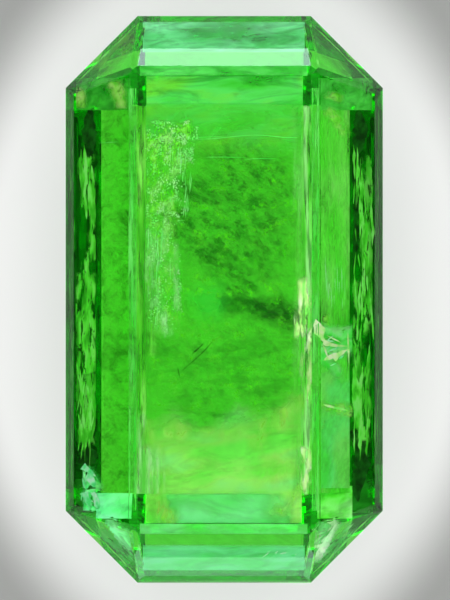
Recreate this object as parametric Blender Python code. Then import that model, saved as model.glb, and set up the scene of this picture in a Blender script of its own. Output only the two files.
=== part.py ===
# Step-cut emerald crystal, lying on its flat back facet with the table facing up.
# The stone is shaped as a lapidary shapes it: a block is cut by one flat plane for each facet.
# Metres, +Z up. Length runs along Y, width along X, and the origin is the middle of the back facet.

import math

import bmesh
import bpy
from mathutils import Vector

MM = 0.001

# Outline of the girdle, which is the widest part of the stone
LENGTH = 25.2 * MM
WIDTH = 14.1 * MM
CORNER_CUT = 3.2 * MM

# Heights above the back facet
GIRDLE_LOW = 5.05 * MM
GIRDLE_THICKNESS = 0.20 * MM
BAND_HEIGHT = 0.70 * MM
DEPTH = 8.30 * MM

# Plan sizes of the flat facets, edge to edge before their rims are chamfered
TABLE_WIDTH = 7.82 * MM
TABLE_LENGTH = 19.64 * MM
BACK_WIDTH = 7.20 * MM
BACK_LENGTH = 17.75 * MM
BAND_WIDTH = 0.42 * MM

# Widths of the narrow facets that take the sharpness off the ridges
TABLE_RIM = 0.40 * MM
CROWN_RIDGE = 0.36 * MM
BACK_RIM = 0.12 * MM
PAVILION_RIDGE = 0.14 * MM

EMERALD_GREEN = (0.03, 0.50, 0.06, 1.0)
POLISHED_ROUGHNESS = 0.02
REFRACTIVE_INDEX = 1.58

GIRDLE_TOP = GIRDLE_LOW + GIRDLE_THICKNESS
BAND_TOP = GIRDLE_TOP + BAND_HEIGHT
CORNER_SIGNS = [(1, 1), (-1, 1), (-1, -1), (1, -1)]

# The rough block that the stone is cut from, as a multiple of the finished size
BLOCK_MARGIN = 1.5

# Points closer than this to a cutting plane count as lying on it
CUT_TOLERANCE = 1e-9

# Any length along a straight edge does to mark its direction
EDGE_STEP = 1.0 * MM


class Plane:
    """A flat facet: a point on it and its outward normal."""

    def __init__(self, point, normal):
        self.point = Vector(point)
        self.normal = Vector(normal).normalized()


def plane_through(a, b, c):
    """The plane through three points, turned to face away from the stone's middle."""
    a, b, c = Vector(a), Vector(b), Vector(c)
    normal = (b - a).cross(c - a)
    middle = Vector((0.0, 0.0, GIRDLE_LOW))
    if normal.dot(a - middle) < 0:
        normal = -normal
    return Plane(a, normal)


def octagon_corner(half_width, half_length, cut, z, sign_x, sign_y):
    """The two points of one cut corner of an octagon: first on the long side, then on the short end."""
    side_end = Vector((sign_x * half_width, sign_y * (half_length - cut), z))
    short_end = Vector((sign_x * (half_width - cut), sign_y * half_length, z))
    return side_end, short_end


def side_plane(sign, low, high):
    """A facet along one long side, through its lower and upper edges, each given as (half width, height)."""
    return plane_through(
        (sign * low[0], -EDGE_STEP, low[1]),
        (sign * low[0], EDGE_STEP, low[1]),
        (sign * high[0], 0.0, high[1]),
    )


def end_plane(sign, low, high):
    """A facet along one short end, through its lower and upper edges, each given as (half length, height)."""
    return plane_through(
        (-EDGE_STEP, sign * low[0], low[1]),
        (EDGE_STEP, sign * low[0], low[1]),
        (0.0, sign * high[0], high[1]),
    )


def chamfer(first, second, edge_point, width):
    """A narrow facet of the given width that replaces the ridge where two facets meet."""
    normal = (first.normal + second.normal).normalized()
    half_turn = first.normal.angle(second.normal) / 2.0
    depth = width * math.tan(half_turn) / 2.0
    return Plane(Vector(edge_point) - normal * depth, normal)


def crown_facets():
    """The table, the large sloping facets around it, the steep band below them and their narrow ridges."""
    half_w, half_l = WIDTH / 2, LENGTH / 2
    band_w, band_l = half_w - BAND_WIDTH, half_l - BAND_WIDTH
    band_cut = CORNER_CUT - BAND_WIDTH * (2 - math.sqrt(2))
    table_w, table_l = TABLE_WIDTH / 2, TABLE_LENGTH / 2

    table = Plane((0, 0, DEPTH), (0, 0, 1))
    large, ridges = [table], []
    sides = {s: side_plane(s, (band_w, BAND_TOP), (table_w, DEPTH)) for s in (1, -1)}
    ends = {s: end_plane(s, (band_l, BAND_TOP), (table_l, DEPTH)) for s in (1, -1)}
    large += list(sides.values()) + list(ends.values())
    for sign in (1, -1):
        large.append(side_plane(sign, (half_w, GIRDLE_TOP), (band_w, BAND_TOP)))
        large.append(end_plane(sign, (half_l, GIRDLE_TOP), (band_l, BAND_TOP)))
        ridges.append(chamfer(table, sides[sign], (sign * table_w, 0, DEPTH), TABLE_RIM))
        ridges.append(chamfer(table, ends[sign], (0, sign * table_l, DEPTH), TABLE_RIM))

    for sx, sy in CORNER_SIGNS:
        side_end, short_end = octagon_corner(band_w, band_l, band_cut, BAND_TOP, sx, sy)
        low_side, low_short = octagon_corner(half_w, half_l, CORNER_CUT, GIRDLE_TOP, sx, sy)
        table_corner = Vector((sx * table_w, sy * table_l, DEPTH))
        corner = plane_through(side_end, short_end, table_corner)
        large.append(corner)
        large.append(plane_through(low_side, low_short, side_end))
        ridges.append(chamfer(corner, sides[sx], side_end, CROWN_RIDGE))
        ridges.append(chamfer(corner, ends[sy], short_end, CROWN_RIDGE))
    return large + ridges


def girdle_facets():
    """The thin upright wall around the widest part."""
    facets = []
    for sign in (1, -1):
        facets.append(Plane((sign * WIDTH / 2, 0, GIRDLE_LOW), (sign, 0, 0)))
        facets.append(Plane((0, sign * LENGTH / 2, GIRDLE_LOW), (0, sign, 0)))
    for sx, sy in CORNER_SIGNS:
        side_end, short_end = octagon_corner(
            WIDTH / 2, LENGTH / 2, CORNER_CUT, GIRDLE_LOW, sx, sy
        )
        upper = side_end + Vector((0, 0, GIRDLE_THICKNESS))
        facets.append(plane_through(side_end, short_end, upper))
    return facets


def pavilion_facets():
    """The flat back facet and the facets that rise from it to the girdle."""
    half_w, half_l = WIDTH / 2, LENGTH / 2
    back_w, back_l = BACK_WIDTH / 2, BACK_LENGTH / 2

    back = Plane((0, 0, 0), (0, 0, -1))
    large, ridges = [back], []
    sides = {s: side_plane(s, (back_w, 0), (half_w, GIRDLE_LOW)) for s in (1, -1)}
    ends = {s: end_plane(s, (back_l, 0), (half_l, GIRDLE_LOW)) for s in (1, -1)}
    large += list(sides.values()) + list(ends.values())
    for sign in (1, -1):
        ridges.append(chamfer(back, sides[sign], (sign * back_w, 0, 0), BACK_RIM))
        ridges.append(chamfer(back, ends[sign], (0, sign * back_l, 0), BACK_RIM))

    for sx, sy in CORNER_SIGNS:
        side_end, short_end = octagon_corner(half_w, half_l, CORNER_CUT, GIRDLE_LOW, sx, sy)
        corner = plane_through(side_end, short_end, (sx * back_w, sy * back_l, 0))
        large.append(corner)
        ridges.append(chamfer(corner, sides[sx], side_end, PAVILION_RIDGE))
        ridges.append(chamfer(corner, ends[sy], short_end, PAVILION_RIDGE))
    return large + ridges


def cut_away(bm, plane):
    """Cuts off what lies outside the plane and closes the cut with one flat facet."""
    geometry = bm.verts[:] + bm.edges[:] + bm.faces[:]
    cut = bmesh.ops.bisect_plane(
        bm,
        geom=geometry,
        dist=CUT_TOLERANCE,
        plane_co=plane.point,
        plane_no=plane.normal,
        clear_outer=True,
    )
    rim = [e for e in cut["geom_cut"] if isinstance(e, bmesh.types.BMEdge)]
    if len(rim) >= 3:
        bmesh.ops.contextual_create(bm, geom=rim)


def clear_scene():
    for obj in list(bpy.data.objects):
        bpy.data.objects.remove(obj)


def emerald_material():
    material = bpy.data.materials.new("emerald")
    material.use_nodes = True
    shader = material.node_tree.nodes["Principled BSDF"]
    shader.inputs["Base Color"].default_value = EMERALD_GREEN
    shader.inputs["Roughness"].default_value = POLISHED_ROUGHNESS
    shader.inputs["Metallic"].default_value = 0.0
    shader.inputs["IOR"].default_value = REFRACTIVE_INDEX
    return material


def build_crystal():
    """One solid crystal, cut facet by facet from a block a little larger than the stone."""
    bm = bmesh.new()
    bmesh.ops.create_cube(bm, size=1.0)
    block = Vector((WIDTH, LENGTH, DEPTH)) * BLOCK_MARGIN
    bmesh.ops.scale(bm, vec=block, verts=bm.verts)
    bmesh.ops.translate(bm, vec=(0, 0, DEPTH / 2), verts=bm.verts)
    for facet in girdle_facets() + crown_facets() + pavilion_facets():
        cut_away(bm, facet)
    bmesh.ops.recalc_face_normals(bm, faces=bm.faces)

    mesh = bpy.data.meshes.new("crystal")
    bm.to_mesh(mesh)
    bm.free()
    mesh.materials.append(emerald_material())
    crystal = bpy.data.objects.new("crystal", mesh)
    bpy.context.scene.collection.objects.link(crystal)
    return crystal


clear_scene()
build_crystal()
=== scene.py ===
# Looks for a step-cut emerald: clear green glass with its inner garden of clouds, flakes and grains.
# Places inside the stone are given as they are seen from above: x to the right, y up the stone,
# from its middle, in millimetres at the height of the girdle. lineOfSight() finds the point in the
# stone that is seen there, at a depth behind the facet in front of it.
import math
import random

import bmesh
import bpy
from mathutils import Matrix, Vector, noise
from mathutils.bvhtree import BVHTree


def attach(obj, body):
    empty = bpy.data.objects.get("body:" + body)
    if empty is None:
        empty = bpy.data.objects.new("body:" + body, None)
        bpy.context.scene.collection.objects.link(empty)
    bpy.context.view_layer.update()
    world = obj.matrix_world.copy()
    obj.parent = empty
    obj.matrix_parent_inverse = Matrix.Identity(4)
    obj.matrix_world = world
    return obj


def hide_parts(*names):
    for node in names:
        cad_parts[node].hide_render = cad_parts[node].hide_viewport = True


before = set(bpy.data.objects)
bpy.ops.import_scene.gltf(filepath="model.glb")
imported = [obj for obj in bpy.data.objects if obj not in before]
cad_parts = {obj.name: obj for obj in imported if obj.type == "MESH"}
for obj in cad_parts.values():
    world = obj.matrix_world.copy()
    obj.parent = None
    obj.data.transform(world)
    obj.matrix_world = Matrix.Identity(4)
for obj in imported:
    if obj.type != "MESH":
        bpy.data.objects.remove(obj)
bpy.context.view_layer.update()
mm = 0.001
noise.seed_set(7)                    # noise_vector, which shifts painted rims, follows the clock without it


# camera

cameraLook = {
    "height": 78 * mm,               # above the surface that the stone lies on
    "girdleHeight": 5.2 * mm,
    "sensor": 24,                    # height of the picture on the sensor, in millimetres
    "frameHeight": 600,              # picture points
    "pixel": 0.0445 * mm,            # size of one picture point at the girdle
    "shift": (0.0013, -0.0010),
    "clip": (1 * mm, 10),
}


def makeCamera(look):
    data = bpy.data.cameras.new("camera")
    camera = bpy.data.objects.new("camera", data)
    bpy.context.scene.collection.objects.link(camera)
    camera.location = (0, 0, look["height"])
    distance = look["height"] - look["girdleHeight"]
    data.sensor_fit = "VERTICAL"
    data.sensor_height = look["sensor"]
    data.lens = look["sensor"] * distance / (look["frameHeight"] * look["pixel"])
    data.shift_x, data.shift_y = look["shift"]
    data.clip_start, data.clip_end = look["clip"]
    bpy.context.scene.camera = camera
    print("camera set")


makeCamera(cameraLook)


# light and floor

lightLook = {
    "skyStops": [                    # sine of the elevation, share of the full brightness
        (0.0, 0.15), (0.20, 0.15), (0.45, 0.80), (0.572, 0.95), (0.587, 0.08), (0.618, 0.08),
        (0.632, 1.0), (0.90, 1.0), (0.965, 0.05), (1.0, 0.03),
    ],
    "skyStrength": 3.6,
    "sideShade": (0.36, 0.68, 0.05),  # the sky dims towards the left and right: from, to, least
    "floorColour": (0.23, 0.23, 0.225, 1),
    "floorRoughness": 0.9,
    "floorSize": 4,                  # metres
    "floorDrop": 0.05 * mm,          # keeps the floor clear of the back facet
    "floorGlow": 0.52,               # a light pad under the stone, fading out beyond the picture
    "padSize": (11 * mm, 15 * mm),
    "padFade": (1.0, 1.32),
    "stripColour": (0.72, 1.0, 0.96),
    "farStrip": {"at": (0, 53 * mm, 6.6 * mm), "size": (46 * mm, 11.2 * mm), "radiance": 5.0, "facing": -1},
    "nearStrip": {"at": (0, -25 * mm, 2.4 * mm), "size": (20 * mm, 4.8 * mm), "radiance": 1.6, "facing": 1},
}


def addStrip(name, strip, colour):
    data = bpy.data.lights.new(name, "AREA")
    data.shape = "RECTANGLE"
    data.size, data.size_y = strip["size"]
    data.color = colour
    data.energy = strip["radiance"] * math.pi * strip["size"][0] * strip["size"][1]
    light = bpy.data.objects.new(name, data)
    light.location = strip["at"]
    light.rotation_euler = (math.radians(90 * strip["facing"]), 0, 0)
    bpy.context.scene.collection.objects.link(light)


def setStops(ramp, stops):
    # colour stops given as (place, colour), placed first and coloured after, because placing sorts them
    elements = ramp.color_ramp.elements
    while len(elements) < len(stops):
        elements.new(0.5)
    for element, stop in zip(elements, stops):
        element.position = stop[0]
    for element, stop in zip(elements, stops):
        element.color = tuple(stop[1]) + (1,)


def makeSky(look):
    world = bpy.data.worlds.new("studio")
    bpy.context.scene.world = world
    world.use_nodes = True
    nodes, links = world.node_tree.nodes, world.node_tree.links
    coords = nodes.new("ShaderNodeTexCoord")
    split = nodes.new("ShaderNodeSeparateXYZ")
    links.new(coords.outputs["Generated"], split.inputs[0])
    ramp = nodes.new("ShaderNodeValToRGB")
    setStops(ramp, [(place, (bright, bright, bright)) for place, bright in look["skyStops"]])
    links.new(split.outputs["Z"], ramp.inputs[0])
    away = nodes.new("ShaderNodeMath")
    away.operation = "ABSOLUTE"
    links.new(split.outputs["X"], away.inputs[0])
    shade = nodes.new("ShaderNodeMapRange")
    shade.interpolation_type = "SMOOTHSTEP"
    shade.inputs["From Min"].default_value = look["sideShade"][0]
    shade.inputs["From Max"].default_value = look["sideShade"][1]
    shade.inputs["To Min"].default_value = look["skyStrength"]
    shade.inputs["To Max"].default_value = look["skyStrength"] * look["sideShade"][2]
    links.new(away.outputs[0], shade.inputs[0])
    background = nodes["Background"]
    links.new(ramp.outputs[0], background.inputs["Color"])
    links.new(shade.outputs[0], background.inputs["Strength"])


def makeFloor(look):
    bpy.ops.mesh.primitive_plane_add(size=look["floorSize"], location=(0, 0, -look["floorDrop"]))
    floor = bpy.context.object
    floor.name = "floor"
    material = bpy.data.materials.new("paleFloor")
    material.use_nodes = True
    nodes, links = material.node_tree.nodes, material.node_tree.links
    shader = nodes["Principled BSDF"]
    shader.inputs["Base Color"].default_value = look["floorColour"]
    shader.inputs["Roughness"].default_value = look["floorRoughness"]
    shader.inputs["Specular IOR Level"].default_value = 0
    coords = nodes.new("ShaderNodeTexCoord")
    pad = nodes.new("ShaderNodeMapping")
    pad.vector_type = "TEXTURE"
    pad.inputs["Scale"].default_value = look["padSize"] + (1,)
    links.new(coords.outputs["Object"], pad.inputs["Vector"])
    reach = nodes.new("ShaderNodeVectorMath")
    reach.operation = "LENGTH"
    links.new(pad.outputs[0], reach.inputs[0])
    fade = nodes.new("ShaderNodeMapRange")
    fade.interpolation_type = "SMOOTHSTEP"
    fade.inputs["From Min"].default_value, fade.inputs["From Max"].default_value = look["padFade"]
    fade.inputs["To Min"].default_value = look["floorGlow"]
    fade.inputs["To Max"].default_value = 0
    links.new(reach.outputs["Value"], fade.inputs[0])
    shader.inputs["Emission Color"].default_value = (1, 1, 1, 1)
    links.new(fade.outputs[0], shader.inputs["Emission Strength"])
    floor.data.materials.append(material)


makeSky(lightLook)
makeFloor(lightLook)
addStrip("farStrip", lightLook["farStrip"], lightLook["stripColour"])
addStrip("nearStrip", lightLook["nearStrip"], lightLook["stripColour"])
print("floor and light set")


# the clear stone

stoneLook = {
    "edgeWear": 0.045 * mm,          # width that polishing has taken off every edge
    "ior": 1.58,
    "absorbDensity": 430.0,          # per metre
    "absorbColour": (0.367, 0.993, 0.037, 1),
    "polishRoughness": (0.0, 0.03),
    "smudgeScale": 420,
    "smudgeDetail": 4,
    "smudgeRange": (0.5, 0.8),       # of the smudge noise, from polished to smudged
    "weld": 1e-7,                    # joins corner points that are this close
    "flatAngle": 0.5,                # degrees; faces that differ less are one facet
}


def emeraldGlass(look):
    material = bpy.data.materials.new("emeraldGlass")
    material.use_nodes = True
    nodes, links = material.node_tree.nodes, material.node_tree.links
    shader = nodes["Principled BSDF"]
    shader.inputs["Base Color"].default_value = (1, 1, 1, 1)
    shader.inputs["IOR"].default_value = look["ior"]
    shader.inputs["Transmission Weight"].default_value = 1
    coords = nodes.new("ShaderNodeTexCoord")
    smudge = nodes.new("ShaderNodeTexNoise")     # faint smudges in the polish
    smudge.inputs["Scale"].default_value = look["smudgeScale"]
    smudge.inputs["Detail"].default_value = look["smudgeDetail"]
    links.new(coords.outputs["Object"], smudge.inputs["Vector"])
    gloss = nodes.new("ShaderNodeMapRange")
    gloss.inputs["From Min"].default_value, gloss.inputs["From Max"].default_value = look["smudgeRange"]
    gloss.inputs["To Min"].default_value, gloss.inputs["To Max"].default_value = look["polishRoughness"]
    links.new(smudge.outputs["Fac"], gloss.inputs[0])
    links.new(gloss.outputs[0], shader.inputs["Roughness"])
    absorb = nodes.new("ShaderNodeVolumeAbsorption")
    absorb.inputs["Color"].default_value = look["absorbColour"]
    absorb.inputs["Density"].default_value = look["absorbDensity"]
    links.new(absorb.outputs[0], nodes["Material Output"].inputs["Volume"])
    return material


def addPiece(name, mesh, material):
    mesh.materials.append(material)
    piece = bpy.data.objects.new(name, mesh)
    bpy.context.scene.collection.objects.link(piece)
    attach(piece, "root")
    return piece


def makeStone(look):
    form = bmesh.new()
    form.from_mesh(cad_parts["crystal"].data)
    bmesh.ops.remove_doubles(form, verts=form.verts, dist=look["weld"])
    flat = math.radians(look["flatAngle"])
    bmesh.ops.dissolve_limit(form, angle_limit=flat, verts=form.verts, edges=form.edges)
    bmesh.ops.bevel(
        form, geom=form.edges, offset=look["edgeWear"], segments=1, affect="EDGES", clamp_overlap=True,
    )
    mesh = bpy.data.meshes.new("polishedStone")
    form.to_mesh(mesh)
    form.free()
    stone = addPiece("polishedStone", mesh, emeraldGlass(look))
    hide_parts("crystal")
    print("stone polished,", len(mesh.polygons), "faces")


makeStone(stoneLook)


# finding places inside the stone

def crystalTree():
    form = bmesh.new()
    form.from_mesh(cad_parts["crystal"].data)
    tree = BVHTree.FromBMesh(form)
    form.free()
    return tree


stoneTree = crystalTree()
eye = Vector((0, 0, cameraLook["height"]))
skinGap = 0.02 * mm                  # nothing lies closer to the surface than this


def lineOfSight(x, y, depth):
    # the point that is seen at x, y, this far behind the facet there; all in millimetres
    look = (Vector((x * mm, y * mm, cameraLook["girdleHeight"])) - eye).normalized()
    place, normal, _, _ = stoneTree.ray_cast(eye, look)
    if place is None:
        return None
    ratio = 1 / stoneLook["ior"]
    cosIn = -look.dot(normal)
    cosOut = math.sqrt(1 - ratio * ratio * (1 - cosIn * cosIn))
    bent = look * ratio + normal * (ratio * cosIn - cosOut)
    place = place + bent * depth * mm
    near, normal, _, away = stoneTree.find_nearest(place)
    inside = (place - near).dot(normal) < 0 and away > skinGap
    return place if inside else None


# painting covers: how strong a cloud is at each place

paintLook = {
    "spotCore": 0.3,                 # share of an oval, from its middle, that is fully covered
    "streakCore": 0.15,              # and of a line's width
    "wanderRates": (1.1, 3.1),       # broad and fine noise that shifts the rims, per millimetre
    "wanderFine": 0.4,               # strength of the fine noise
}


def smoothStep(low, high, value):
    t = min(max((value - low) / (high - low), 0), 1)
    return t * t * (3 - 2 * t)


def spot(x, y, at, size):
    # 1 at the middle of an oval, falling to 0 at its rim
    away = math.hypot((x - at[0]) / size[0], (y - at[1]) / size[1])
    return 1 - smoothStep(paintLook["spotCore"], 1, away)


def streak(x, y, start, end, width):
    # 1 along a line from start to end, falling to 0 at the given width
    line = Vector(end) - Vector(start)
    t = min(max((Vector((x, y)) - Vector(start)).dot(line) / line.length_squared, 0), 1)
    away = (Vector((x, y)) - Vector(start) - line * t).length
    return 1 - smoothStep(paintLook["streakCore"], 1, away / width)


def wander(x, y, amount):
    # shifts a place a little, so that painted shapes get natural rims
    broad, fine = paintLook["wanderRates"]
    slip = noise.noise_vector(Vector((x, y, 7.7)) * broad)
    slip += noise.noise_vector(Vector((x, y, 2.2)) * fine) * paintLook["wanderFine"]
    return x + slip.x * amount, y + slip.y * amount


def box(x, y, left, right, bottom, top, soft):
    # 1 inside a rectangle, falling to 0 across its soft rim
    across = smoothStep(left - soft, left + soft, x) * (1 - smoothStep(right - soft, right + soft, x))
    along = smoothStep(bottom - soft, bottom + soft, y) * (1 - smoothStep(top - soft, top + soft, y))
    return across * along


def paint(shapes, shift=0.3, least=0.0):
    # a cover from ovals, lines and rectangles, each given as (kind, strength, its own sizes)
    def cover(x, y):
        x, y = wander(x, y, shift)
        return max([least] + [strength * kind(x, y, *sizes) for kind, strength, *sizes in shapes])
    return cover


def evenCover(amount):
    # the same cover at every place
    def cover(x, y):
        return amount
    return cover


# what the clouds, flakes and grains are made of

grainLook = {
    "cloudRoughness": 0.8,
    "flakeRoughness": 0.55,
    "specular": 0.1,
    "toneDetail": 4,
    "toneStart": 0.38,               # the slow noise takes the first tone here
    "toneSpan": 0.24,                # and the last one this much further on
    "grainDetail": 6,
    "rippleRate": 0.5,               # waves of a cloud's sheet, per millimetre
    "leastCover": 0.02,              # a sheet has no faces where its cover is fainter
}


def toneNodes(material, tones, scale, stretch, turn):
    # base colour from a slow noise, running through the tones
    nodes, links = material.node_tree.nodes, material.node_tree.links
    shader = nodes["Principled BSDF"]
    coords = nodes.new("ShaderNodeTexCoord")
    grainWay = nodes.new("ShaderNodeMapping")
    grainWay.vector_type = "TEXTURE"
    grainWay.inputs["Rotation"].default_value = (0, 0, math.radians(turn))
    grainWay.inputs["Scale"].default_value = (stretch, 1, 1)
    links.new(coords.outputs["Object"], grainWay.inputs["Vector"])
    drift = nodes.new("ShaderNodeTexNoise")
    drift.inputs["Scale"].default_value = scale
    drift.inputs["Detail"].default_value = grainLook["toneDetail"]
    links.new(grainWay.outputs[0], drift.inputs["Vector"])
    ramp = nodes.new("ShaderNodeValToRGB")
    start, span, last = grainLook["toneStart"], grainLook["toneSpan"], len(tones) - 1
    setStops(ramp, [(start + span * index / last, tone) for index, tone in enumerate(tones)])
    links.new(drift.outputs["Fac"], ramp.inputs[0])
    links.new(ramp.outputs[0], shader.inputs["Base Color"])
    return grainWay


def plainBase(name, roughness):
    material = bpy.data.materials.new(name)
    material.use_nodes = True
    shader = material.node_tree.nodes["Principled BSDF"]
    shader.inputs["Roughness"].default_value = roughness
    shader.inputs["Specular IOR Level"].default_value = grainLook["specular"]
    return material


def cloudMaterial(name, look):
    # a cloud of tiny grains: its cover is a fine noise, stronger where the sheet is painted
    material = plainBase(name, look.get("roughness", grainLook["cloudRoughness"]))
    grainWay = toneNodes(material, look["tones"], look["toneScale"], look["stretch"], look["turn"])
    nodes, links = material.node_tree.nodes, material.node_tree.links
    nodes["Principled BSDF"].inputs["Metallic"].default_value = look.get("shine", 0)
    grain = nodes.new("ShaderNodeTexNoise")
    grain.inputs["Scale"].default_value = look["grainScale"]
    grain.inputs["Detail"].default_value = grainLook["grainDetail"]
    grain.inputs["Roughness"].default_value = look["grainRough"]
    grain.inputs["Distortion"].default_value = look["swirl"]
    links.new(grainWay.outputs[0], grain.inputs["Vector"])
    cover = nodes.new("ShaderNodeAttribute")
    cover.attribute_name = "cover"
    lace = nodes.new("ShaderNodeMapRange")
    lace.interpolation_type = "SMOOTHSTEP"
    lace.inputs["From Min"].default_value, lace.inputs["From Max"].default_value = look["lace"]
    lace.inputs["To Min"].default_value = look["haze"]
    links.new(grain.outputs["Fac"], lace.inputs[0])
    amount = nodes.new("ShaderNodeMath")
    amount.operation = "MULTIPLY"
    links.new(lace.outputs[0], amount.inputs[0])
    links.new(cover.outputs["Fac"], amount.inputs[1])
    links.new(amount.outputs[0], nodes["Principled BSDF"].inputs["Alpha"])
    return material


def makeCloud(name, look):
    # a thin rippled sheet across a rectangle, with its cover painted at each point
    # a tilt is how much deeper it lies for each millimetre to the right and up the stone
    left, right, bottom, top = look["area"]
    tiltRight, tiltUp = look.get("tilt", (0, 0))
    across = round((right - left) / look["step"])
    along = round((top - bottom) / look["step"])
    form = bmesh.new()
    coverLayer = form.verts.layers.float.new("cover")
    rows = []
    for j in range(along + 1):
        row = []
        for i in range(across + 1):
            x, y = left + (right - left) * i / across, bottom + (top - bottom) * j / along
            wave = noise.noise(Vector((x, y, look["seed"])) * grainLook["rippleRate"])
            depth = look["depth"] + wave * look["ripple"] + tiltRight * (x - left) + tiltUp * (y - bottom)
            place = lineOfSight(x, y, depth)
            vert = None
            if place is not None:
                vert = form.verts.new(place)
                vert[coverLayer] = look["cover"](x, y)
            row.append(vert)
        rows.append(row)
    for j in range(along):
        for i in range(across):
            corners = [rows[j][i], rows[j][i + 1], rows[j + 1][i + 1], rows[j + 1][i]]
            if None in corners or max(v[coverLayer] for v in corners) < grainLook["leastCover"]:
                continue
            form.faces.new(corners)
    loose = [v for v in form.verts if not v.link_faces]
    bmesh.ops.delete(form, geom=loose, context="VERTS")
    mesh = bpy.data.meshes.new(name)
    form.to_mesh(mesh)
    form.free()
    addPiece(name, mesh, cloudMaterial(name, look))
    print("cloud", name, len(mesh.polygons), "faces")


flakeDefaults = {
    "stationEvery": 0.12,            # millimetres between the rings of points along a flake
    "stations": (4, 26),             # fewest and most of them
    "bend": 0.5, "bendRate": 0.8,    # how far and how fast its middle line wanders
    "jag": 0.9, "jagRate": 5.0,      # the same for its ragged rims
    "leastWidth": 0.06,              # share of the width that is left at its tips
    "thick": 0.03,
    "toneScale": 1500, "stretch": 1, "turn": 90,
}


def flakeMaterial(name, look):
    material = plainBase(name, grainLook["flakeRoughness"])
    toneNodes(material, look["tones"], look["toneScale"], look["stretch"], look["turn"])
    return material


def flakeWidth(shape, t):
    # share of the full width, from the start of a flake at 0 to its end at 1
    if shape == "leaf":
        return math.sin(math.pi * t) ** 0.6
    if shape == "wedge":
        return 1 - 0.9 * t
    return min(1, 8 * t + 0.1, 8 * (1 - t) + 0.1)


def addFlake(form, start, end, width, shape, depth, look, luck):
    # a thin ragged splinter from start to end, closed on all sides
    line = Vector(end) - Vector(start)
    side = Vector((-line.y, line.x)).normalized()
    fewest, most = look["stations"]
    count = max(fewest, min(most, round(line.length / look["stationEvery"])))
    seed = luck.uniform(0, 100)
    rings = []
    for k in range(count + 1):
        t = k / count
        bend = noise.noise(Vector((seed, t * line.length * look["bendRate"], 1))) * look["bend"] * width
        middle = Vector(start) + line * t + side * bend
        half = 0.5 * width * max(flakeWidth(shape, t), look["leastWidth"])
        ring = []
        for sign, row in ((-1, 3), (1, 7)):
            ragged = noise.noise(Vector((seed, t * line.length * look["jagRate"], row)))
            rim = middle + side * sign * half * (1 + look["jag"] * ragged)
            for layer in (0, look["thick"]):
                ring.append(lineOfSight(rim.x, rim.y, depth + layer))
        if None not in ring:
            rings.append([form.verts.new(place) for place in ring])
    if len(rings) < 2:
        return
    for near, far in zip(rings, rings[1:]):
        for a, b in ((0, 2), (2, 3), (3, 1), (1, 0)):
            form.faces.new((near[a], near[b], far[b], far[a]))
    form.faces.new((rings[0][0], rings[0][1], rings[0][3], rings[0][2]))
    form.faces.new((rings[-1][0], rings[-1][2], rings[-1][3], rings[-1][1]))


def makeFlakes(name, look):
    # placed flakes are (x, y, x, y, width, shape), from start to end; drifts scatter more of them,
    # each as (rectangle, count, lengths, widths, lean, how far the lean varies), in degrees
    full = dict(flakeDefaults, **look)
    luck = random.Random(look["seed"])
    form = bmesh.new()
    for x0, y0, x1, y1, width, shape in look.get("placed", []):
        depth = luck.uniform(*look["depth"])
        addFlake(form, (x0, y0), (x1, y1), width, shape, depth, full, luck)
    for area, count, lengths, widths, lean, spread in look.get("drifts", []):
        left, right, bottom, top = area
        for _ in range(count):
            x, y = luck.uniform(left, right), luck.uniform(bottom, top)
            length, width = luck.uniform(*lengths), luck.uniform(*widths)
            angle = math.radians(lean + luck.uniform(-1, 1) * spread)
            reach = Vector((math.cos(angle), math.sin(angle))) * length / 2
            start, end = (x - reach.x, y - reach.y), (x + reach.x, y + reach.y)
            addFlake(form, start, end, width, "leaf", luck.uniform(*look["depth"]), full, luck)
    bmesh.ops.recalc_face_normals(form, faces=form.faces)
    mesh = bpy.data.meshes.new(name)
    form.to_mesh(mesh)
    form.free()
    addPiece(name, mesh, flakeMaterial(name, full))
    print("flakes", name, len(mesh.polygons), "faces")


def makeGrains(name, look):
    # small angular grains, denser where the cover is high
    luck = random.Random(look["seed"])
    left, right, bottom, top = look["area"]
    form = bmesh.new()
    placed = 0
    for _ in range(look["tries"]):
        x, y = luck.uniform(left, right), luck.uniform(bottom, top)
        chance, size = luck.random(), luck.uniform(*look["size"])
        depth = luck.uniform(*look["depth"])
        clump = 0.5 + 0.5 * noise.noise(Vector((x, y, look["seed"])) * look["clumpRate"])
        if chance > look["cover"](x, y) * smoothStep(*look["clump"], clump):
            continue
        middle = lineOfSight(x, y, depth)
        if middle is None:
            continue
        tips = []
        for axis in (Vector((1, 0, 0)), Vector((0, 1, 0)), Vector((0, 0, 1))):
            for sign in (1, -1):
                tip = middle + axis * sign * size * luck.uniform(*look["tips"]) * mm
                tips.append(form.verts.new(tip))
        for a in (0, 1):
            for b in (2, 3):
                for c in (4, 5):
                    form.faces.new((tips[a], tips[b], tips[c]))
        placed += 1
    bmesh.ops.recalc_face_normals(form, faces=form.faces)
    mesh = bpy.data.meshes.new(name)
    form.to_mesh(mesh)
    form.free()
    addPiece(name, mesh, flakeMaterial(name, dict(flakeDefaults, **look)))
    print("grains", name, placed)


# dark moss in the middle of the stone, near its back: strokes that run down to the right

mossCover = paint([
    (spot, 0.60, (0.9, 3.3), (3.4, 5.4)), (spot, 0.85, (-1.1, 4.8), (1.5, 1.2)),
    (spot, 0.60, (-0.1, 6.6), (2.2, 0.8)),
    (streak, 0.85, (-2.0, 3.4), (0.9, 0.6), 1.2), (streak, 1.00, (0.2, -0.1), (4.2, -1.15), 0.85),
    (streak, 0.50, (-3.4, -1.8), (-1.0, -2.8), 1.0),
], 0.3, 0.15)

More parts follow.
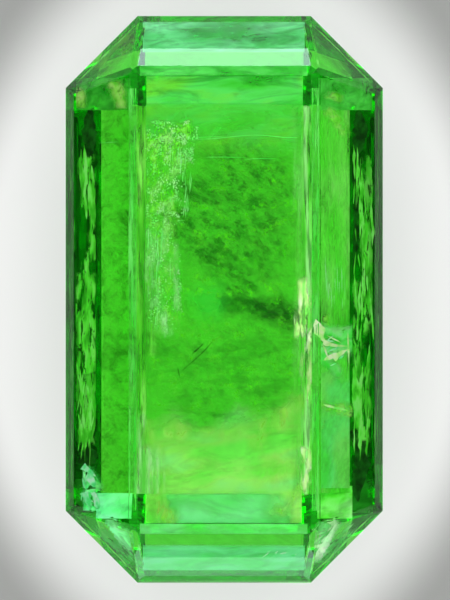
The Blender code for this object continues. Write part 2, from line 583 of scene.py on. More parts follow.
mossLook = {
    "area": (-3.6, 3.75, -8.8, 8.8), "step": 0.12, "depth": 7.3, "ripple": 0.4, "seed": 3,
    "cover": mossCover, "turn": -36, "stretch": 2.2, "grainScale": 1900, "grainRough": 0.72, "swirl": 0.1,
    "toneScale": 700, "tones": [(0.01, 0.12, 0.0), (0.04, 0.22, 0.0), (0.02, 0.26, 0.03)],
    "lace": (0.36, 0.66), "haze": 0.20,
}
makeCloud("mossCloud", mossLook)


# a finer, patchy moss above it

patchCover = paint([
    (spot, 0.80, (0.9, 4.0), (3.6, 4.6)), (streak, 1.00, (0.8, -0.3), (4.2, -1.2), 0.8),
    (streak, 0.90, (-2.0, 3.4), (0.9, 0.6), 1.1), (box, 0.35, -2.0, 3.4, -6.0, 6.0, 0.8),
])

patchLook = {
    "area": (-3.6, 3.75, -6.8, 8.0), "step": 0.12, "depth": 5.2, "ripple": 0.6, "seed": 5,
    "cover": patchCover, "turn": -25, "stretch": 1.3, "grainScale": 2600, "grainRough": 0.78, "swirl": 0.1,
    "toneScale": 900, "tones": [(0.01, 0.14, 0.0), (0.03, 0.25, 0.01)],
    "lace": (0.46, 0.64), "haze": 0.0,
}
makeCloud("patchCloud", patchLook)


# sunlit mottles between the moss

glowLook = {
    "area": (-3.5, 3.45, -6.0, 8.4), "step": 0.12, "depth": 1.8, "ripple": 0.4, "seed": 6, "turn": -20,
    "stretch": 1.2, "grainScale": 2200, "grainRough": 0.80, "swirl": 0.1, "toneScale": 1100,
    "tones": [(0.24, 0.95, 0.04), (0.44, 1.0, 0.10)], "lace": (0.46, 0.70), "haze": 0.05,
    "cover": paint([
        (box, 0.62, -3.4, 3.4, -5.2, 8.2, 0.4), (spot, 0.95, (-2.9, 5.4), (0.9, 1.6)),
        (spot, 0.95, (1.5, 0.6), (1.1, 0.6)), (spot, 0.80, (2.2, 4.6), (1.8, 3.0)),
    ]),
}
makeCloud("glowCloud", glowLook)


# the dark feather that enters from the right, below the middle

featherLook = {
    "area": (-0.6, 3.75, -2.2, 0.8), "step": 0.10, "depth": 3.4, "ripple": 0.3, "seed": 9, "turn": -14,
    "stretch": 3.0, "grainScale": 2200, "grainRough": 0.75, "swirl": 0.1, "toneScale": 900,
    "tones": [(0.01, 0.10, 0.0), (0.04, 0.22, 0.0)], "lace": (0.32, 0.60), "haze": 0.30,
    "cover": paint([
        (streak, 1.00, (1.6, -0.45), (4.2, -1.0), 0.85), (streak, 0.75, (0.1, -0.1), (2.0, -0.6), 0.60),
    ], 0.2),
}
makeCloud("feather", featherLook)


# a smooth mint patch beside the dark strokes

mintPatchLook = {
    "area": (-2.4, 0.6, -1.6, 1.4), "step": 0.10, "depth": 2.0, "ripple": 0.2, "seed": 7, "turn": 30,
    "stretch": 1.5, "grainScale": 900, "grainRough": 0.6, "swirl": 0.3, "toneScale": 900,
    "tones": [(0.09, 0.85, 0.26), (0.16, 0.95, 0.40)], "lace": (0.25, 0.6), "haze": 0.35,
    "cover": paint([(spot, 0.48, (-0.8, -0.1), (1.4, 1.2))], 0.25),
}
makeCloud("mintPatch", mintPatchLook)


# mottling seen through the sloping side facets

columnLook = {
    "step": 0.12, "depth": 2.2, "ripple": 0.3, "cover": evenCover(1.0), "stretch": 1.8, "grainRough": 0.68,
    "swirl": 0.4, "toneScale": 900, "haze": 0.05,
}
makeCloud("leftColumn", dict(
    columnLook, area=(-5.62, -4.26, -8.6, 8.6), seed=61, turn=5, grainScale=1700, lace=(0.40, 0.84),
    grainRough=0.74, tones=[(0.02, 0.24, 0.0), (0.05, 0.34, 0.01)],
))
makeCloud("rightColumn", dict(
    columnLook, area=(4.30, 5.58, -8.6, 8.6), seed=62, turn=89, grainScale=2600, lace=(0.30, 0.70), depth=0.6,
    stretch=5.0, haze=0.30, grainRough=0.74, swirl=0.05,
    tones=[(0.14, 0.95, 0.06), (0.26, 1.0, 0.14), (0.38, 1.0, 0.24)],
))


def lowColumnCover(x, y):
    x, y = wander(x, y, 0.5)
    return 0.8 * (1 - smoothStep(-3.8, -2.8, y))


makeCloud("lowColumn", dict(
    columnLook, area=(4.30, 5.58, -8.4, -2.2), seed=63, turn=60, grainScale=900, lace=(0.34, 0.66), depth=0.3,
    stretch=1.5, haze=0.45, swirl=0.05, toneScale=500, cover=lowColumnCover,
    tones=[(0.12, 0.92, 0.14), (0.22, 1.0, 0.34), (0.36, 1.0, 0.28)],
))


# veils over the ends of the side columns, where the back facets meet

endVeilLook = {
    "step": 0.10, "depth": 0.5, "ripple": 0.1, "cover": evenCover(1.0), "stretch": 2.0, "grainScale": 1500,
    "grainRough": 0.6, "swirl": 0.6, "toneScale": 1200, "turn": 20, "lace": (0.32, 0.60), "haze": 0.45,
}
makeCloud("farLeftVeil", dict(
    endVeilLook, area=(-6.60, -4.26, 8.42, 9.85), seed=65, tones=[(0.03, 0.36, 0.03), (0.10, 0.70, 0.08)],
))
makeCloud("farRightVeil", dict(
    endVeilLook, area=(4.28, 6.60, 8.42, 9.85), seed=66, tones=[(0.05, 0.50, 0.04), (0.16, 0.85, 0.16)],
))
makeCloud("nearLeftVeil", dict(
    endVeilLook, area=(-5.70, -4.26, -9.75, -8.62), seed=67, depth=0.10, tilt=(0.52, 0.25), haze=0.6,
    shine=0.6, roughness=0.42, tones=[(0.14, 0.92, 0.36), (0.34, 1.0, 0.72)],
))
makeCloud("nearRightVeil", dict(
    endVeilLook, area=(4.28, 5.70, -9.75, -8.30), seed=68, depth=0.85, tilt=(-0.52, 0.25), haze=0.6,
    shine=0.4, roughness=0.42, tones=[(0.16, 0.90, 0.08), (0.44, 1.0, 0.40)],
))
makeCloud("nearLeftShade", dict(
    endVeilLook, area=(-6.62, -5.70, -9.5, -8.0), seed=69, depth=0.7, haze=0.6,
    tones=[(0.01, 0.20, 0.01), (0.03, 0.40, 0.03)],
))
makeCloud("nearRightShade", dict(
    endVeilLook, area=(5.70, 6.62, -9.5, -8.0), seed=70, depth=0.7, haze=0.6,
    tones=[(0.01, 0.20, 0.01), (0.03, 0.40, 0.03)],
))


# veils under the narrow rims at the two ends of the table

rimVeilLook = dict(endVeilLook, depth=0.2, step=0.07, turn=0, haze=0.5)
makeCloud("farRimVeil", dict(
    rimVeilLook, area=(-3.75, 3.70, 9.96, 10.42), seed=73, tones=[(0.06, 0.70, 0.06), (0.18, 0.95, 0.20)],
))
makeCloud("nearRimVeil", dict(
    rimVeilLook, area=(-3.75, 3.70, -10.44, -9.98), seed=74, haze=0.7,
    tones=[(0.12, 0.80, 0.12), (0.26, 0.95, 0.36)],
))


# painted reflections: mint sheets under the end facets of the crown stand in for the light that these facets
# reflect

# painted reflection on the far end facet: full cover, weaker in an oval in its middle
def farFacetPaintedReflectionCover(x, y):
    return 0.95 - 0.55 * spot(x, y, (0.1, 11.9), (2.9, 0.8))


# painted highlight on the near end facet: full cover from y = -11 down
def nearFacetPaintedHighlightCover(x, y):
    return 0.95 * (1 - smoothStep(-11.02, -10.92, y))


makeCloud("farFacetPaintedReflection", dict(
    endVeilLook, area=(-3.62, 3.58, 11.0, 12.35), seed=71, depth=0.3, cover=farFacetPaintedReflectionCover, turn=4,
    stretch=2.4, tones=[(0.16, 0.84, 0.34), (0.34, 1.0, 0.64)],
))
makeCloud("nearFacetPaintedHighlight", dict(
    endVeilLook, area=(-3.62, 3.58, -12.05, -10.7), seed=72, depth=0.25, cover=nearFacetPaintedHighlightCover, turn=4,
    stretch=2.4, haze=0.75, tones=[(0.12, 0.95, 0.26), (0.24, 1.0, 0.54)],
))


# mottling and pale panels under the corner facets

cornerVeilLook = dict(endVeilLook, depth=0.4, grainScale=1900, lace=(0.34, 0.62), haze=0.25)
makeCloud("farLeftCorner", dict(
    cornerVeilLook, area=(-6.3, -4.0, 9.9, 12.2), seed=91, turn=45,
    tones=[(0.02, 0.22, 0.01), (0.16, 0.55, 0.04)],
    cover=paint([(streak, 0.9, (-5.4, 10.3), (-4.4, 11.5), 0.75)], 0.1),
))
makeCloud("farRightCorner", dict(
    cornerVeilLook, area=(4.0, 6.3, 9.9, 12.2), seed=92, turn=-45, haze=0.4,
    tones=[(0.01, 0.14, 0.01), (0.05, 0.42, 0.05)],
    cover=paint([(streak, 0.9, (5.6, 10.3), (4.3, 11.7), 0.75)], 0.1),
))
makeCloud("cornerGlint", dict(
    cornerVeilLook, area=(4.0, 5.2, -11.8, -9.8), seed=95, depth=0.2, tilt=(-0.84, 0.53), turn=-70, haze=0.5,
    shine=0.6, roughness=0.42, tones=[(0.50, 1.0, 0.60), (0.95, 1.0, 0.90)],
    cover=paint([(streak, 1.0, (4.75, -9.95), (4.2, -11.3), 0.50)], 0.08),
))
makeCloud("cornerPale", dict(
    cornerVeilLook, area=(-5.8, -4.0, -11.4, -9.8), seed=96, depth=-1.1, tilt=(0.84, 0.53), turn=-45,
    haze=0.45, shine=0.6, roughness=0.42, tones=[(0.20, 0.95, 0.40), (0.50, 1.0, 0.72)],
    cover=paint([(streak, 1.0, (-5.2, -9.95), (-4.15, -10.9), 0.50)], 0.08),
))
makeCloud("nearRightCorner", dict(
    cornerVeilLook, area=(4.0, 6.3, -12.2, -9.9), seed=93, turn=45, lace=(0.42, 0.54), haze=0.1,
    tones=[(0.08, 0.70, 0.12), (0.30, 1.0, 0.40), (0.85, 1.0, 0.85)],
    cover=paint([
        (streak, 0.7, (5.4, -10.2), (4.3, -11.5), 0.60), (streak, 1.0, (4.5, -10.1), (4.25, -11.2), 0.50),
    ], 0.1),
))
makeCloud("nearLeftCorner", dict(
    cornerVeilLook, area=(-6.3, -4.0, -12.2, -9.9), seed=94, turn=-45, lace=(0.42, 0.54), haze=0.1,
    tones=[(0.06, 0.60, 0.10), (0.22, 0.95, 0.34)],
    cover=paint([(streak, 0.8, (-5.4, -10.2), (-4.3, -11.5), 0.55)], 0.1),
))


# level wisps below the middle

def wispCover(x, y):
    amount = box(x, y, -3.4, 3.6, -5.6, -1.6, 0.5)
    return amount * (0.30 + 0.35 * spot(x, y, (-1.2, -5.5), (3.5, 0.8)))


wispLook = {
    "area": (-3.6, 3.7, -6.6, -1.0), "step": 0.14, "depth": 6.4, "ripple": 0.5, "seed": 8,
    "cover": wispCover, "turn": 6, "stretch": 4.0, "grainScale": 1500, "grainRough": 0.66, "swirl": 0.6,
    "toneScale": 500, "tones": [(0.01, 0.22, 0.02), (0.02, 0.36, 0.05)],
    "lace": (0.45, 0.62), "haze": 0.05,
}
makeCloud("wispCloud", wispLook)


# pale yellow-green cloud in the lower third, with a soft, wavy shore

def duskCover(x, y):
    x, y = wander(x, y, 0.4)
    shore = -5.75 + 0.36 * max(x, 0) + 0.22 * math.sin(2.2 * x)
    thinning = 0.30 * smoothStep(shore - 1.8, shore - 0.6, y)
    fading = 0.70 * smoothStep(shore - 0.8, shore + 0.9, y)
    return 1.00 - thinning - fading


duskLook = {
    "area": (-3.50, 3.45, -9.95, -3.6), "step": 0.10, "depth": 0.8, "ripple": 0.3, "seed": 11,
    "cover": duskCover, "turn": 8, "stretch": 2.6, "grainScale": 1100, "grainRough": 0.68, "swirl": 0.6,
    "toneScale": 600, "tones": [(0.32, 0.98, 0.20), (0.66, 1.0, 0.34), (0.56, 1.0, 0.58)],
    "lace": (0.26, 0.56), "haze": 0.60,
}
makeCloud("duskCloud", duskLook)


# mint cloud along the near end of the table

def mintCover(x, y):
    across, _ = wander(x, y, 0.6)
    ends = smoothStep(-3.1, -1.9, across) * (1 - smoothStep(1.5, 3.1, across + 0.5 * (y + 9.3)))
    return ends * (1 - smoothStep(-8.72, -8.64, y))


mintLook = {
    "area": (-3.5, 3.45, -9.95, -8.5), "step": 0.10, "depth": 0.5, "ripple": 0.1, "seed": 14,
    "cover": mintCover, "turn": 0, "stretch": 2.0, "grainScale": 900, "grainRough": 0.6, "swirl": 0.6,
    "toneScale": 700, "tones": [(0.20, 0.90, 0.30), (0.34, 1.0, 0.60)],
    "lace": (0.28, 0.60), "haze": 0.60,
}
makeCloud("mintCloud", mintLook)


# wavy pale streaks under the far end of the table

def farCover(x, y):
    strip = smoothStep(8.62, 8.72, y)
    waves = 0.5 * smoothStep(6.2, 7.4, y)
    return max(0.95 * strip, waves)


farLook = {
    "area": (-3.46, 3.5, 6.2, 9.93), "step": 0.09, "depth": 0.9, "ripple": 0.2, "seed": 21,
    "cover": farCover, "turn": 4, "stretch": 3.4, "grainScale": 1400, "grainRough": 0.6, "swirl": 0.9,
    "toneScale": 700, "tones": [(0.12, 0.84, 0.10), (0.26, 1.0, 0.38), (0.44, 0.96, 0.16)],
    "lace": (0.34, 0.62), "haze": 0.45,
}
makeCloud("farCloud", farLook)


# frost in the upper left of the table: a pale cloud, with white grains and fine threads further on

frostCover = paint([
    (box, 1.00, -3.45, -1.35, 6.9, 7.9, 0.08), (box, 1.00, -3.45, -1.75, 5.6, 7.2, 0.2),
    (box, 0.90, -3.45, -2.1, 3.4, 6.0, 0.25), (box, 0.75, -3.45, -2.2, -1.4, 3.8, 0.3),
], 0.2)

frostLook = {
    "area": (-3.5, -0.9, -1.8, 8.5), "step": 0.10, "depth": 0.7, "ripple": 0.2, "seed": 31,
    "cover": frostCover, "turn": 80, "stretch": 1.5, "grainScale": 3600, "grainRough": 0.85, "swirl": 0.2,
    "toneScale": 1800, "tones": [(0.16, 0.92, 0.04), (0.40, 1.0, 0.10), (0.62, 1.0, 0.40)],
    "lace": (0.42, 0.60), "haze": 0.14,
}
makeCloud("frostCloud", frostLook)


# pale strokes in the lower part of the frost

makeCloud("frostStrokes", dict(
    frostLook, area=(-3.6, -1.6, -2.4, 3.6), seed=36, depth=0.4, turn=86, stretch=3.0, haze=0.2,
    tones=[(0.30, 1.0, 0.26), (0.72, 1.0, 0.72)],
    cover=paint([
        (streak, 0.9, (-3.35, 2.9), (-3.25, -0.2), 0.30), (streak, 0.8, (-3.1, 0.6), (-2.5, -1.5), 0.30),
        (streak, 0.6, (-2.15, 2.4), (-2.15, -0.4), 0.16), (streak, 0.5, (-2.7, 3.0), (-2.8, 1.2), 0.22),
    ], 0.15),
))


# white grains, closest together along the frost's right rim

frostGrainCover = paint([
    (spot, 1.00, (-1.55, 6.7), (0.45, 0.8)), (spot, 0.70, (-2.0, 7.0), (0.9, 1.0)),
    (streak, 0.9, (-3.3, 7.85), (-1.2, 7.85), 0.12),
    (streak, 0.9, (-1.2, 7.85), (-1.25, 7.2), 0.10), (streak, 0.8, (-2.1, 6.4), (-2.1, 3.6), 0.12),
    (spot, 0.60, (-2.9, 3.9), (0.9, 0.8)), (box, 0.25, -3.4, -1.8, 3.2, 7.8, 0.2),
    (box, 0.12, -3.4, -2.2, -1.4, 3.4, 0.2), (streak, 0.8, (-2.0, 2.0), (-2.0, -0.6), 0.10),
], 0.12)

frostGrainLook = {
    "area": (-3.5, -0.9, -1.4, 8.0), "tries": 26000, "size": (0.012, 0.044), "depth": (0.15, 0.5), "seed": 33,
    "clumpRate": 3.0, "clump": (0.35, 0.75), "tips": (0.5, 1), "cover": frostGrainCover,
    "tones": [(0.40, 1.0, 0.40), (1.0, 1.0, 1.0)],
}
makeGrains("frostGrains", frostGrainLook)


# fine upright threads in the frost and under the right side facet

frostThreads = {
    "seed": 35, "depth": (0.35, 0.6), "toneScale": 2400, "jag": 1.2,
    "tones": [(0.30, 1.0, 0.35), (0.75, 1.0, 0.85)],
    "drifts": [
        ((-2.4, -1.5, 3.8, 6.9), 16, (0.3, 1.4), (0.015, 0.035), 88, 8),
        ((-3.45, -2.4, -1.2, 3.0), 26, (0.4, 1.8), (0.015, 0.045), 90, 5),
        ((4.5, 5.5, -0.3, 1.2), 16, (0.5, 1.8), (0.012, 0.03), 90, 2),
    ],
}
makeFlakes("frostThreads", frostThreads)


# pale upright streaks along both sides of the table

def streakCover(x, y):
    right = box(x, y, 3.50, 3.95, -8.7, 8.6, 0.05)
    right = max(right, 0.5 * box(x, y, 3.15, 3.6, -8.6, 8.5, 0.2))
    left = box(x, y, -3.95, -3.50, -8.6, 8.6, 0.04)
    left = max(left, 0.55 * box(x, y, -3.55, -3.1, -2.5, 1.6, 0.15))
    return max(right, left)


streakLook = {
    "step": 0.07, "depth": 0.3, "ripple": 0.05, "cover": streakCover, "turn": 90, "stretch": 14.0,
    "grainScale": 7000, "grainRough": 0.6, "swirl": 0.05, "toneScale": 3600, "lace": (0.40, 0.56),
    "haze": 0.40,
}
makeCloud("rightStreaks", dict(
    streakLook, area=(2.95, 3.86, -8.7, 8.65), seed=41,
    tones=[(0.05, 0.60, 0.02), (0.22, 0.92, 0.10), (0.50, 1.0, 0.40)],
))
makeCloud("leftStreaks", dict(
    streakLook, area=(-3.86, -2.9, -8.65, 8.65), seed=42,
    tones=[(0.05, 0.48, 0.01), (0.15, 0.78, 0.04), (0.36, 1.0, 0.16)],
))
makeCloud("leftLowStreaks", dict(
    streakLook, area=(-3.86, -2.6, -8.65, -4.6), seed=43, haze=0.2, depth=0.22,
    tones=[(0.20, 0.90, 0.12), (0.42, 1.0, 0.34), (0.75, 1.0, 0.70)],
    cover=paint([
        (streak, 0.75, (-3.65, -6.9), (-3.70, -8.9), 0.6), (streak, 0.45, (-3.2, -7.2), (-3.1, -8.6), 0.7),
        (streak, 0.45, (-3.7, -5.2), (-3.7, -6.6), 0.3),
    ], 0.15),
))


# painted highlights: pale lines under the narrow rims along the two sides of the table

frameHighlightLook = dict(streakLook, depth=0.12, lace=(0.44, 0.58), haze=0.12, cover=evenCover(0.8))
makeCloud("leftFramePaintedHighlight", dict(
    frameHighlightLook, area=(-4.24, -3.92, -9.4, 9.4), seed=45, tones=[(0.06, 0.85, 0.05), (0.25, 1.0, 0.22)],
))
makeCloud("rightFramePaintedHighlight", dict(
    frameHighlightLook, area=(3.90, 4.22, -9.4, 9.4), seed=46, tones=[(0.06, 0.85, 0.05), (0.25, 1.0, 0.22)],
))


# a bright glare where cracks meet the right rim of the table

def glareCover(x, y):
    x, y = wander(x, y, 0.3)
    upper = max(box(x, y, 3.30, 4.10, -1.8, 0.75, 0.12), 0.6 * box(x, y, 3.60, 4.10, -4.6, -1.6, 0.15))
    return max(upper, 0.8 * box(x, y, 3.45, 3.95, -8.6, -6.6, 0.15))


glareLook = dict(
    streakLook, area=(3.1, 3.86, -8.7, 1.2), depth=0.22, seed=44, cover=glareCover, stretch=4.0,
    grainScale=4200, ripple=0.12, shine=0.7, roughness=0.52, lace=(0.42, 0.54), haze=0.1,
    tones=[(0.34, 1.0, 0.20), (0.80, 1.0, 0.45), (1.0, 1.0, 0.85)],
)
makeCloud("rightGlare", glareLook)


# dark shards under the outer parts of the side facets

darkFlakes = {
    "seed": 61, "depth": (0.60, 0.66), "toneScale": 2500, "jag": 0.6,
    "tones": [(0.0, 0.04, 0.0), (0.01, 0.16, 0.01)],
    "placed": [
        (-6.00, 8.5, -6.05, 6.3, 0.66, "leaf"), (6.00, 8.4, 6.05, 6.5, 0.66, "leaf"),
        (-6.05, -6.6, -6.02, -7.4, 0.74, "ribbon"), (6.05, -5.4, 5.95, -9.0, 0.66, "leaf"),
        (5.85, 6.2, 5.90, 2.0, 0.24, "ribbon"),
    ],
    "drifts": [
        ((5.75, 6.35, -2.0, 6.3), 12, (0.8, 2.8), (0.04, 0.16), 90, 3),
    ],
}
makeFlakes("darkFlakes", darkFlakes)


# painted shade: dark streaky sheets under the steep bands darken them

bandPaintedShadeLook = dict(
    streakLook, depth=0.12, cover=evenCover(0.85), lace=(0.42, 0.60), haze=0.40, step=0.06,
    tones=[(0.0, 0.06, 0.0), (0.02, 0.22, 0.01)],
)
makeCloud("leftBandPaintedShade", dict(bandPaintedShadeLook, area=(-7.00, -6.68, -9.2, 9.2), seed=47))
makeCloud("rightBandPaintedShade", dict(bandPaintedShadeLook, area=(6.68, 7.00, -9.2, 9.2), seed=48))


# ragged bright healed cracks under the outer parts of the side facets

def leftRagCover(x, y):
    x, y = wander(x, y, 0.22)
    amount = box(x, y, -6.35, -5.85, 4.0, 6.35, 0.12)
    amount = max(amount, box(x, y, -6.00, -5.70, 1.8, 4.4, 0.08))
    amount = max(amount, streak(x, y, (-5.9, 2.9), (-6.15, 1.0), 0.32))
    amount = max(amount, box(x, y, -6.60, -5.70, -3.3, 1.2, 0.10))
    return max(amount, 0.72 * box(x, y, -6.6, -5.7, -6.4, -3.3, 0.10))


def rightRagCover(x, y):
    x, y = wander(x, y, 0.22)
    amount = streak(x, y, (6.2, 3.6), (6.4, 0.6), 0.32)
    amount = max(amount, streak(x, y, (6.4, 1.4), (6.2, -1.4), 0.36))
    amount = max(amount, box(x, y, 5.75, 6.50, -6.3, -3.2, 0.12))
    amount = max(amount, 0.72 * box(x, y, 6.15, 6.6, -1.0, 6.4, 0.10))
    return max(amount, 0.70 * box(x, y, 5.7, 6.2, -3.6, 0.8, 0.15))


ragLook = {
    "step": 0.06, "depth": 0.4, "ripple": 0.15, "turn": 88, "stretch": 3.6, "grainScale": 3000,
    "grainRough": 0.66, "swirl": 0.5, "toneScale": 2400, "lace": (0.42, 0.49), "haze": 0.0,
    "tones": [(0.05, 0.45, 0.02), (0.14, 0.92, 0.06), (0.30, 1.0, 0.18)],
}
makeCloud("leftRags", dict(ragLook, area=(-6.60, -5.72, -6.6, 6.5), seed=75, cover=leftRagCover))
makeCloud("rightRags", dict(ragLook, area=(5.70, 6.60, -6.6, 6.5), seed=76, cover=rightRagCover))


# painted highlights as thin bright lines along the ridges, and splinters among the ragged cracks

def atEveryCorner(lines):
    # the lines of the far right corner, repeated at all four
    corners = ((-1, 1), (1, 1), (-1, -1), (1, -1))
    return [
        (across * x0, along * y0, across * x1, along * y1, width, shape)
        for across, along in corners for x0, y0, x1, y1, width, shape in lines
    ]


ridgeHighlightsAndSplinters = {
    "seed": 51, "depth": (0.30, 0.36), "toneScale": 2600, "stretch": 2.0, "jag": 1.2, "bend": 0.8,
    "jagRate": 2.5, "tones": [(0.08, 0.65, 0.03), (0.20, 0.95, 0.10), (0.36, 1.0, 0.26)],
    # the placed lines are painted highlights along the ridges
    "placed": atEveryCorner([
        (6.90, 9.60, 4.00, 12.45, 0.035, "ribbon"), (6.55, 9.65, 3.95, 12.20, 0.050, "ribbon"),
    ]) + [
        (-4.22, 10.35, -3.85, 12.30, 0.045, "ribbon"), (-3.90, 10.40, -3.52, 12.25, 0.035, "ribbon"),
        (4.20, 10.35, 3.83, 12.30, 0.045, "ribbon"), (3.87, 10.40, 3.50, 12.25, 0.035, "ribbon"),
        (-4.22, -10.40, -3.85, -12.20, 0.045, "ribbon"), (-3.90, -10.45, -3.52, -12.10, 0.035, "ribbon"),
        (4.20, -10.40, 3.83, -12.20, 0.045, "ribbon"), (3.87, -10.45, 3.50, -12.10, 0.035, "ribbon"),
    ],
    "drifts": [
        ((-6.50, -5.80, 3.9, 6.2), 12, (0.5, 1.8), (0.05, 0.16), 90, 8),
        ((-6.55, -5.80, -6.4, -3.2), 30, (0.6, 2.2), (0.03, 0.09), 90, 10),
        ((5.75, 6.60, -1.5, 6.2), 34, (0.5, 2.4), (0.03, 0.11), 90, 6),
        ((5.72, 6.50, -6.4, -2.4), 30, (0.5, 2.0), (0.05, 0.14), 92, 10),
        ((-6.88, -6.72, -8.0, 8.0), 16, (0.8, 3.5), (0.015, 0.03), 90, 0.5),
        ((6.72, 6.88, -8.0, 8.0), 16, (0.8, 3.5), (0.015, 0.03), 90, 0.5),
    ],
}
makeFlakes("ridgeHighlightsAndSplinters", ridgeHighlightsAndSplinters)


# pale shards beside the glare, where a crack meets the side facet

paleShards = {
    "seed": 73, "depth": (0.08, 0.14), "toneScale": 2600, "jag": 1.3, "bend": 0.9, "jagRate": 3.0,
    "tones": [(0.30, 1.0, 0.20), (0.75, 1.0, 0.45), (1.0, 1.0, 0.80)],
    "placed": [
        (4.15, -0.85, 4.45, -1.90, 0.42, "leaf"), (4.40, -1.90, 5.55, -2.10, 0.20, "wedge"),
        (4.40, -2.70, 5.05, -2.35, 0.22, "leaf"), (4.90, -2.70, 5.60, -2.20, 0.26, "wedge"),
        (4.35, -2.00, 4.60, -2.70, 0.08, "leaf"), (5.52, -1.50, 5.58, -2.90, 0.07, "ribbon"),
        (4.55, -1.60, 5.20, -1.95, 0.06, "leaf"), (4.40, -4.70, 5.50, -4.95, 0.10, "leaf"),
    ],
}
makeFlakes("paleShards", paleShards)


# mint shards at the near left end, beside the pale shards and under the near end facet

mintFlakes = {
    "seed": 71, "depth": (0.12, 0.20), "toneScale": 2600, "jag": 0.5, "jagRate": 3.0,
    "tones": [(0.12, 0.92, 0.30), (0.32, 1.0, 0.56), (0.70, 1.0, 0.85)],
    "placed": [
        (-6.30, -7.42, -5.70, -7.85, 0.36, "wedge"), (-6.02, -7.75, -5.80, -8.38, 0.34, "leaf"),
        (-6.32, -7.95, -6.15, -8.42, 0.12, "leaf"), (-6.22, -8.58, -5.98, -9.35, 0.42, "wedge"),
        (-5.78, -8.55, -5.72, -9.30, 0.26, "ribbon"), (-6.05, -8.58, -5.64, -8.74, 0.14, "leaf"),
    ],
    "drifts": [
        ((-6.35, -5.75, -9.4, -7.6), 4, (0.3, 0.6), (0.05, 0.12), -60, 70),
        ((4.35, 5.5, -3.0, -1.3), 12, (0.2, 0.7), (0.03, 0.08), 15, 35),
        ((1.6, 3.2, -11.55, -11.2), 7, (0.2, 0.5), (0.04, 0.08), 20, 30),
    ],
}
makeFlakes("mintFlakes", mintFlakes)


# ragged mint and yellow patches under the side facets and in the lower part of the table

ragPatchLook = {
    "step": 0.06, "depth": 0.25, "ripple": 0.08, "turn": 15, "stretch": 1.8, "grainScale": 2400,
    "grainRough": 0.7, "swirl": 0.4, "toneScale": 2200, "lace": (0.36, 0.46), "haze": 0.0,
}
makeCloud("mintPatchLeft", dict(
    ragPatchLook, area=(-6.3, -5.3, -9.4, -7.4), seed=77, depth=0.06, tilt=(0.52, 0.25), ripple=0.02,
    shine=0.5, roughness=0.42, tones=[(0.06, 0.85, 0.16), (0.14, 1.0, 0.34), (0.36, 1.0, 0.55)],
    cover=paint([
        (streak, 1.0, (-6.2, -7.6), (-5.75, -8.3), 0.50), (streak, 1.0, (-6.0, -8.4), (-5.9, -9.2), 0.50),
    ], 0.15),
))
makeCloud("mintPatchRight", dict(
    ragPatchLook, area=(4.3, 5.7, -8.8, -0.8), seed=78,
    tones=[(0.10, 0.95, 0.10), (0.24, 1.0, 0.26), (0.42, 1.0, 0.42)],
    cover=paint([
        (streak, 1.0, (4.35, -1.4), (5.55, -1.6), 0.50), (streak, 1.0, (4.4, -2.4), (5.55, -2.0), 0.75),
        (streak, 0.8, (4.4, -2.6), (4.9, -3.2), 0.40),
    ], 0.2),
))
makeCloud("goldPatchLeft", dict(
    ragPatchLook, area=(-6.6, -4.3, 8.5, 9.8), seed=79,
    tones=[(0.16, 0.75, 0.05), (0.45, 0.90, 0.16), (0.65, 0.95, 0.30)],
    lace=(0.30, 0.52), haze=0.2,
    cover=paint([
        (streak, 0.9, (-4.9, 9.5), (-4.6, 8.75), 0.45), (streak, 0.9, (-6.45, 9.2), (-6.3, 8.7), 0.32),
    ], 0.15),
))
makeCloud("goldPatchRight", dict(
    ragPatchLook, area=(4.3, 5.7, -5.3, 9.3), seed=80,
    tones=[(0.20, 0.90, 0.05), (0.38, 1.0, 0.12), (0.60, 1.0, 0.28)],
    lace=(0.34, 0.60), haze=0.1,
    cover=paint([
        (streak, 0.9, (4.35, -4.7), (5.55, -4.95), 0.35), (streak, 0.9, (4.5, -0.8), (4.7, -1.8), 0.28),
        (streak, 0.8, (4.65, 9.05), (5.1, 8.9), 0.28), (streak, 0.8, (4.7, 8.3), (5.3, 7.5), 0.40),
    ], 0.15),
))
makeCloud("goldPatchNear", dict(
    ragPatchLook, area=(-3.6, 3.6, -9.95, -4.2), seed=81,
    tones=[(0.30, 0.80, 0.06), (0.55, 0.90, 0.12), (0.70, 0.90, 0.20)],
    lace=(0.34, 0.64), haze=0.15, step=0.08, turn=84, grainScale=1500,
    cover=paint([
        (streak, 0.6, (-3.25, -9.0), (-2.5, -9.7), 0.60), (streak, 0.55, (2.6, -9.3), (3.3, -8.6), 0.45),
        (streak, 0.35, (-3.25, -5.6), (-3.0, -9.2), 0.70), (spot, 0.35, (2.2, -7.6), (1.4, 1.0)),
        (streak, 0.5, (1.4, -6.2), (3.2, -4.8), 0.7), (streak, 0.4, (-2.4, -6.0), (0.2, -5.8), 0.5),
    ], 0.3),
))


# crumbly spots where the girdle turns its corners, and along the ridges at the far end

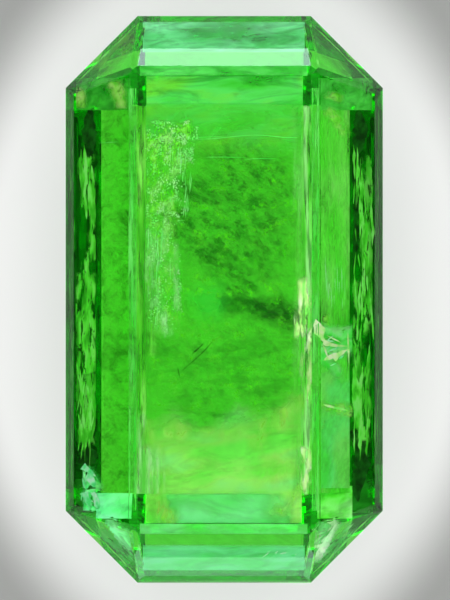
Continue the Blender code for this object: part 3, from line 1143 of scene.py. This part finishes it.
crumbLook = {
    "seed": 97, "depth": (0.10, 0.20), "toneScale": 2500, "jag": 1.0,
    "tones": [(0.0, 0.04, 0.0), (0.02, 0.22, 0.02)],
    "drifts": [
        ((-6.95, -6.45, 9.1, 9.6), 14, (0.08, 0.3), (0.03, 0.09), 45, 60),
        ((6.45, 6.95, 9.1, 9.6), 12, (0.08, 0.3), (0.03, 0.09), -45, 60),
        ((-6.95, -6.45, -9.6, -9.1), 12, (0.08, 0.3), (0.03, 0.09), -45, 60),
        ((6.45, 6.95, -9.6, -9.1), 12, (0.08, 0.3), (0.03, 0.09), 45, 60),
        ((-3.95, -3.6, 10.4, 12.4), 14, (0.1, 0.4), (0.03, 0.08), 80, 25),
        ((3.6, 3.95, 10.4, 12.4), 14, (0.1, 0.4), (0.03, 0.08), 100, 25),
    ],
}
makeFlakes("crumbs", crumbLook)


# fine level needles

needleLook = {
    "seed": 91, "depth": (0.5, 0.8), "tones": [(0.20, 0.95, 0.30), (0.45, 1.0, 0.55)], "jag": 0.6,
    "bend": 3.5, "bendRate": 0.6,
    "placed": [
        (-1.5, 7.15, 1.5, 7.28, 0.022, "leaf"), (1.2, 7.30, 3.3, 7.18, 0.035, "leaf"),
        (-1.6, 7.20, 0.0, 7.22, 0.02, "leaf"), (-0.9, 6.32, 1.0, 6.30, 0.02, "leaf"),
        (0.9, 6.24, 2.4, 6.26, 0.025, "leaf"), (-5.6, 6.95, -4.7, 6.97, 0.02, "leaf"),
    ],
}
makeFlakes("needles", needleLook)


# short dark cracks below the middle, to the left

crackLook = {
    "seed": 95, "depth": (3.5, 3.6), "tones": [(0.0, 0.02, 0.0), (0.0, 0.06, 0.0)], "jag": 0.8, "bend": 3.0,
    "placed": [
        (-0.35, -1.7, -1.9, -3.3, 0.035, "leaf"), (-0.9, -1.95, -1.45, -2.5, 0.05, "leaf"),
        (-2.1, -3.0, -2.0, -3.5, 0.04, "leaf"),
    ],
}
makeFlakes("cracks", crackLook)


# colours as they are, and enough bounces for light to cross the stone

scene = bpy.context.scene
scene.view_settings.view_transform = "Standard"
scene.cycles.max_bounces = 32
scene.cycles.transmission_bounces = 32
scene.cycles.glossy_bounces = 16
scene.cycles.diffuse_bounces = 6
scene.cycles.transparent_max_bounces = 24
